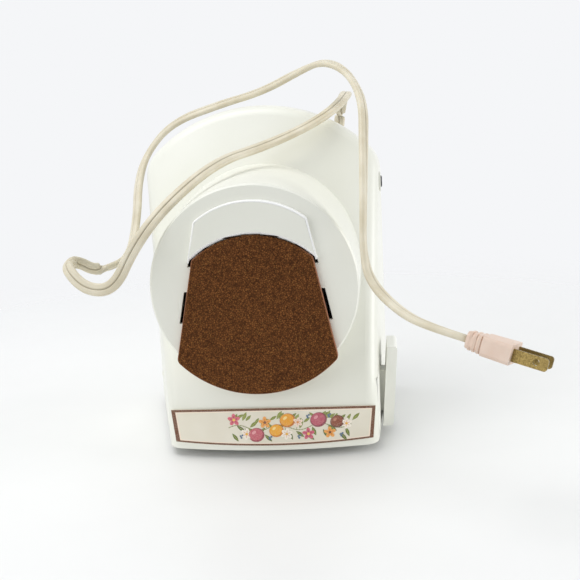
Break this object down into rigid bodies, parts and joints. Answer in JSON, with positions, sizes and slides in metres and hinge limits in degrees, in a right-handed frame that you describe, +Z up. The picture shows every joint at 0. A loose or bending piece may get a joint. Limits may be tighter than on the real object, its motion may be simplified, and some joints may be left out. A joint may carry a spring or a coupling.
{
  "type": "electric ice crusher",
  "caption": "Compact electric ice crusher with a drum front, brown flip-up lid, side ice drawer and a flat mains cord with plug",
  "frame": {"origin": "On the worktop under the middle of the appliance's own bounding box, measured without the cord, strain relief and plug", "axes": "+Z up, -Y towards the user (the drum's face and lid look to -Y), +X to the user's right, where the drawer and the switch are"},
  "size_m": [0.2599, 0.2613, 0.2221],
  "materials": {
    "housing_plastic": "moulded, glossy off-white",
    "base_plastic": "moulded, plain grey-white",
    "lid_brown": "grained brown with a fine golden fleck",
    "label_print": "satin film, cream ground with a brown border",
    "foot_rubber": "dull black rubber",
    "black_plastic": "moulded black",
    "bezel_plastic": "moulded light grey",
    "steel": "machined steel",
    "gear_nylon": "natural nylon",
    "brass": "turned brass",
    "core_steel": "stacked laminations, lacquered",
    "copper": "enamelled copper",
    "phenolic": "pressed phenolic board",
    "carbon": "pressed carbon",
    "cord_pvc": "cream flat twin cord, satin",
    "plug_pvc": "pinkish beige moulded plug"
  },
  "bodies": {
    "crusher": {"front_housing": "housing_plastic", "rear_cover": "housing_plastic", "visor_panel": "housing_plastic", "base_plate": "base_plastic", "drawer_guides": "base_plastic", "bulkhead": "base_plastic", "ice_ramp": "base_plastic", "label_plate": "label_print", "feet": "foot_rubber", "switch_body": "black_plastic", "switch_bezel": "bezel_plastic", "lid_hinge_pin": "steel", "bulkhead_screws": "steel", "crushing_comb": "steel", "bearing_bridge": "steel", "bridge_posts": "steel", "bridge_screws": "steel", "idler_pin": "steel", "gearbox_posts": "steel", "motor_plate": "steel", "plate_screws": "steel", "motor_bracket": "steel", "motor_sleeves": "steel", "motor_bolts": "steel", "cover_screws": "steel", "base_screws": "steel", "shaft_bushing_front": "brass", "shaft_bushing_rear": "brass", "motor_bushings": "brass", "brush_holders": "brass", "plug_pins": "brass", "stator_core": "core_steel", "field_coils": "copper", "brush_plate": "phenolic", "carbon_brushes": "carbon", "power_cord": "cord_pvc", "strain_relief": "cord_pvc", "plug_body": "plug_pvc"},
    "lid": {"lid": "lid_brown"},
    "drawer": {"ice_drawer": "housing_plastic"},
    "button": {"power_button": "black_plastic"},
    "rotor": {"blade_shaft": "steel", "crusher_blade_front": "steel", "crusher_blade_middle": "steel", "crusher_blade_rear": "steel", "blade_spacers": "steel", "blade_nut": "steel", "output_gear": "steel"},
    "idler": {"idler_gear": "gear_nylon"},
    "armature": {"armature_core": "core_steel", "armature_windings": "copper", "armature_shaft": "steel", "commutator": "copper", "cooling_fan": "black_plastic", "motor_pinion": "brass"}
  },
  "joints": [
    {"name": "armature_spin", "type": "hinge", "parent": "crusher", "child": "armature", "pos_m": [-0.00045, 0.0247, 0.102], "axis": [0, 1, 0], "continuous": true},
    {"name": "idler_spin", "type": "hinge", "parent": "crusher", "child": "idler", "pos_m": [0.02955, -0.0053, 0.102], "axis": [0, 1, 0], "continuous": true},
    {"name": "rotor_spin", "type": "hinge", "parent": "crusher", "child": "rotor", "pos_m": [-0.00045, -0.0353, 0.102], "axis": [0, 1, 0], "continuous": true},
    {"name": "lid_hinge", "type": "hinge", "parent": "crusher", "child": "lid", "pos_m": [-0.00045, -0.0675, 0.13125], "axis": [-1, 0, 0], "range_deg": [0, 75]},
    {"name": "drawer_slide", "type": "slide", "parent": "crusher", "child": "drawer", "axis": [1, 0, 0], "range_m": [0, 0.075]},
    {"name": "button_press", "type": "slide", "parent": "crusher", "child": "button", "axis": [-1, 0, 0], "range_m": [0, 0.0015], "stiffness_N_per_m": 900, "springref_m": -0.001}
  ],
  "couplings": [
    {"joint": "idler_spin", "follows": "armature_spin", "ratio": -0.2},
    {"joint": "rotor_spin", "follows": "armature_spin", "ratio": 0.05}
  ]
}
